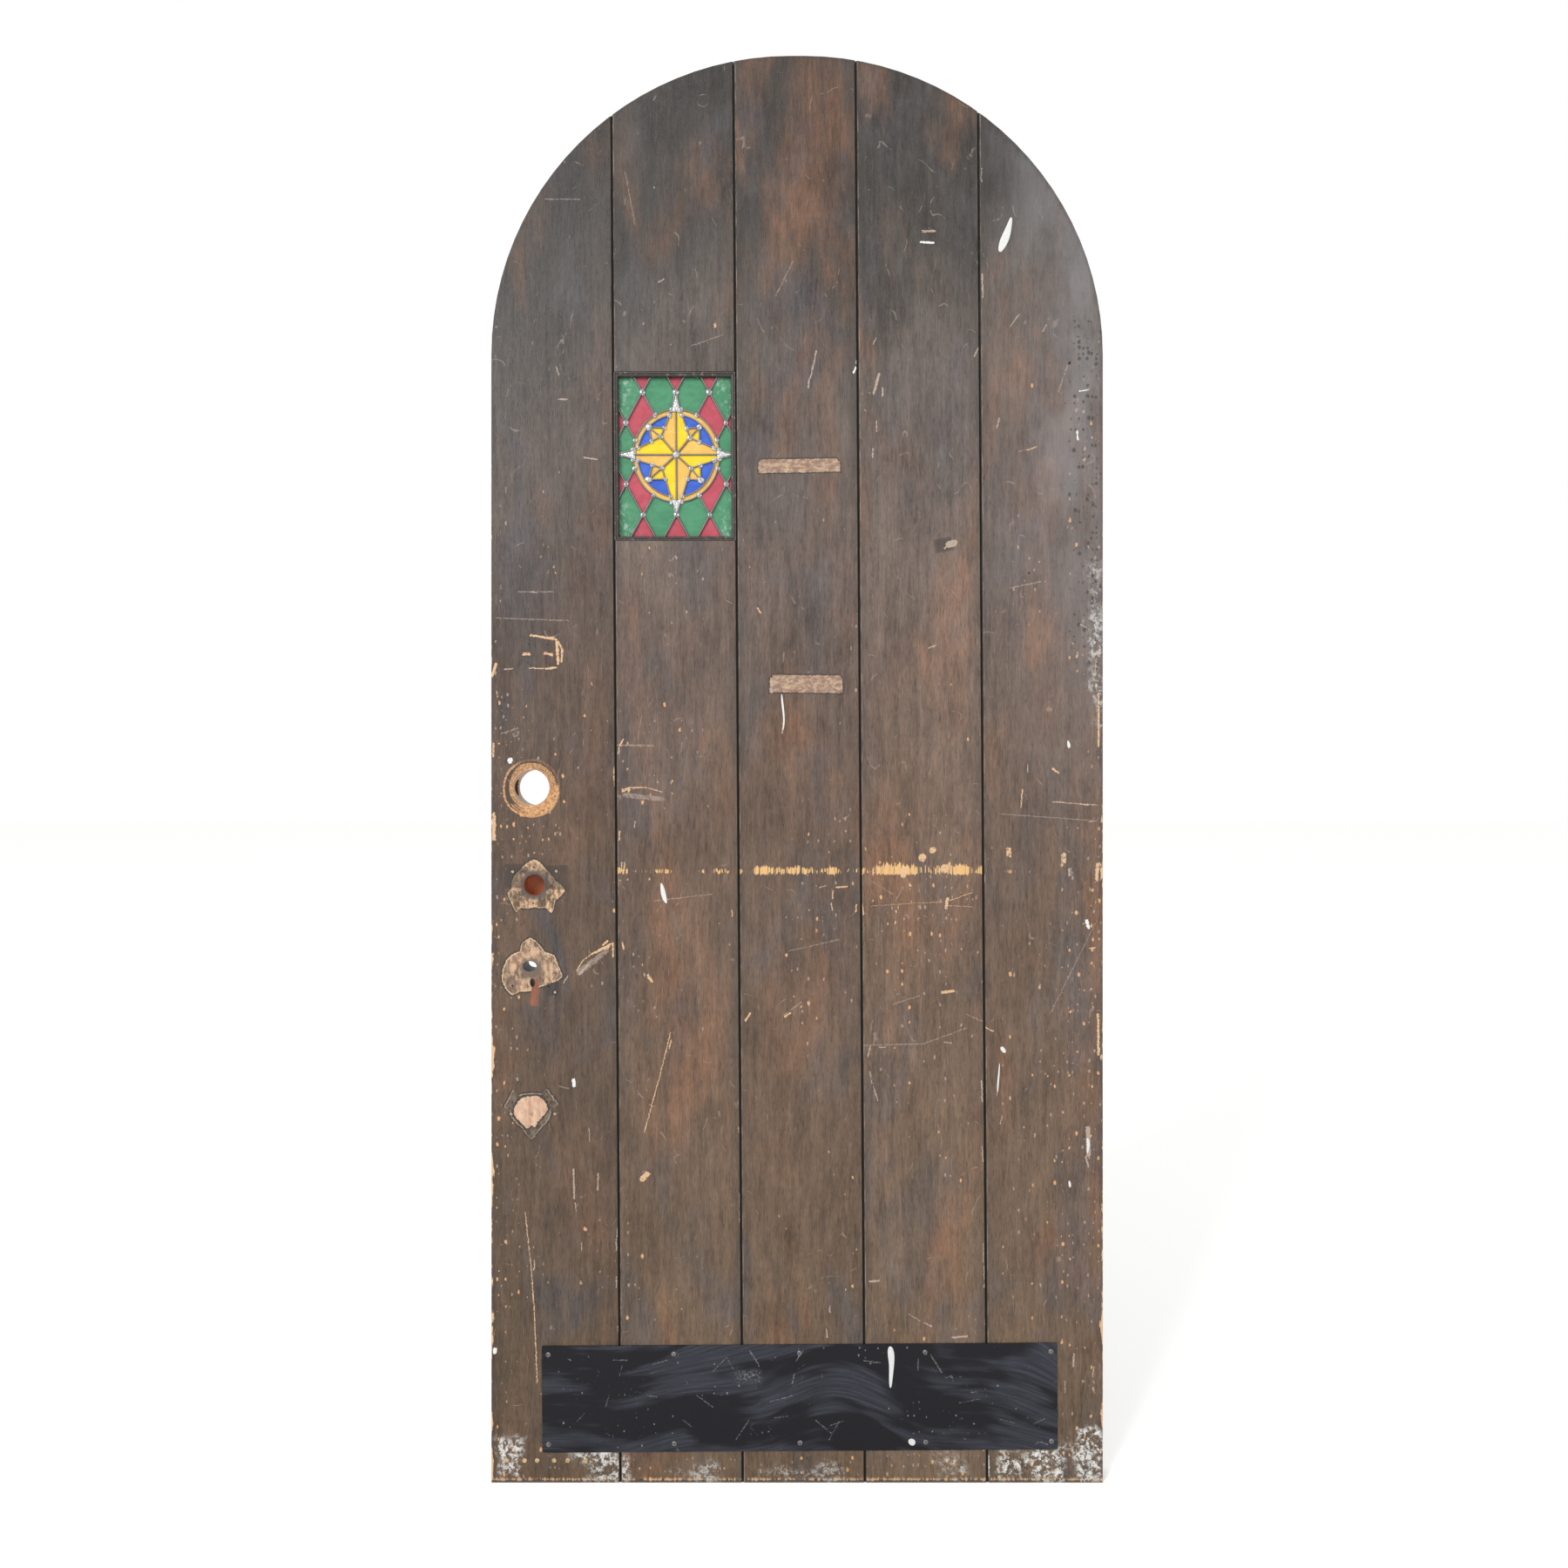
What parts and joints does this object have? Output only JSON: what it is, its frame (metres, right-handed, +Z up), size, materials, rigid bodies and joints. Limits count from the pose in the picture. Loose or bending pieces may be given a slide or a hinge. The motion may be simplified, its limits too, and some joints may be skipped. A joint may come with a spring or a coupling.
{
  "type": "arched plank front door leaf with a leaded glass window",
  "caption": "Round-topped wooden front door leaf of V-jointed boards, with a small recessed window of leaded coloured glass, a black kick plate and the bores left by removed locks",
  "frame": {"origin": "middle of the straight run of the hinge edge, at half the leaf's thickness", "axes": "+X out of the hinge edge, away from the leaf; +Y towards the plain back face, so the front faces -Y; +Z up the leaf"},
  "size_m": [0.9144, 0.0479, 2.1336],
  "materials": {
    "wood": "dark stained boards, worn satin varnish",
    "moulding": "dark stained beads, worn",
    "lead": "dull grey lead with bright solder joints",
    "green_glass": "opalescent, hammered",
    "red_glass": "opalescent, hammered",
    "yellow_glass": "opalescent, smooth",
    "orange_glass": "opalescent, smooth",
    "blue_glass": "opalescent, smooth",
    "black_plate": "black, scuffed, semi-gloss",
    "screw": "dull, tarnished"
  },
  "bodies": {
    "root": {"board_1": "wood", "board_2_lower": "wood", "board_2_upper": "wood", "board_3": "wood", "board_4": "wood", "board_5": "wood", "front_bead_top": "moulding", "front_bead_bottom": "moulding", "front_bead_left": "moulding", "front_bead_right": "moulding", "back_bead_top": "moulding", "back_bead_bottom": "moulding", "back_bead_left": "moulding", "back_bead_right": "moulding", "lead_lattice": "lead", "green_glass_1": "green_glass", "green_glass_2": "green_glass", "green_glass_3": "green_glass", "green_glass_4": "green_glass", "green_glass_5": "green_glass", "green_glass_6": "green_glass", "green_glass_7": "green_glass", "green_glass_8": "green_glass", "green_glass_9": "green_glass", "green_glass_10": "green_glass", "green_glass_11": "green_glass", "green_glass_12": "green_glass", "red_glass_1": "red_glass", "red_glass_2": "red_glass", "red_glass_3": "red_glass", "red_glass_4": "red_glass", "red_glass_5": "red_glass", "red_glass_6": "red_glass", "red_glass_7": "red_glass", "red_glass_8": "red_glass", "red_glass_9": "red_glass", "red_glass_10": "red_glass", "star_upper_point_right": "yellow_glass", "star_right_point_lower": "yellow_glass", "star_lower_point_left": "yellow_glass", "star_left_point_upper": "yellow_glass", "star_upper_point_left": "orange_glass", "star_right_point_upper": "orange_glass", "star_lower_point_right": "orange_glass", "star_left_point_lower": "orange_glass", "rose_upper_right": "blue_glass", "rose_upper_left": "blue_glass", "rose_lower_left": "blue_glass", "rose_lower_right": "blue_glass", "kick_plate": "black_plate", "kick_plate_screw_1": "screw", "kick_plate_screw_2": "screw", "kick_plate_screw_3": "screw", "kick_plate_screw_4": "screw", "kick_plate_screw_5": "screw", "kick_plate_screw_6": "screw", "kick_plate_screw_7": "screw", "kick_plate_screw_8": "screw", "kick_plate_screw_9": "screw", "kick_plate_screw_10": "screw"}
  },
  "joints": []
}
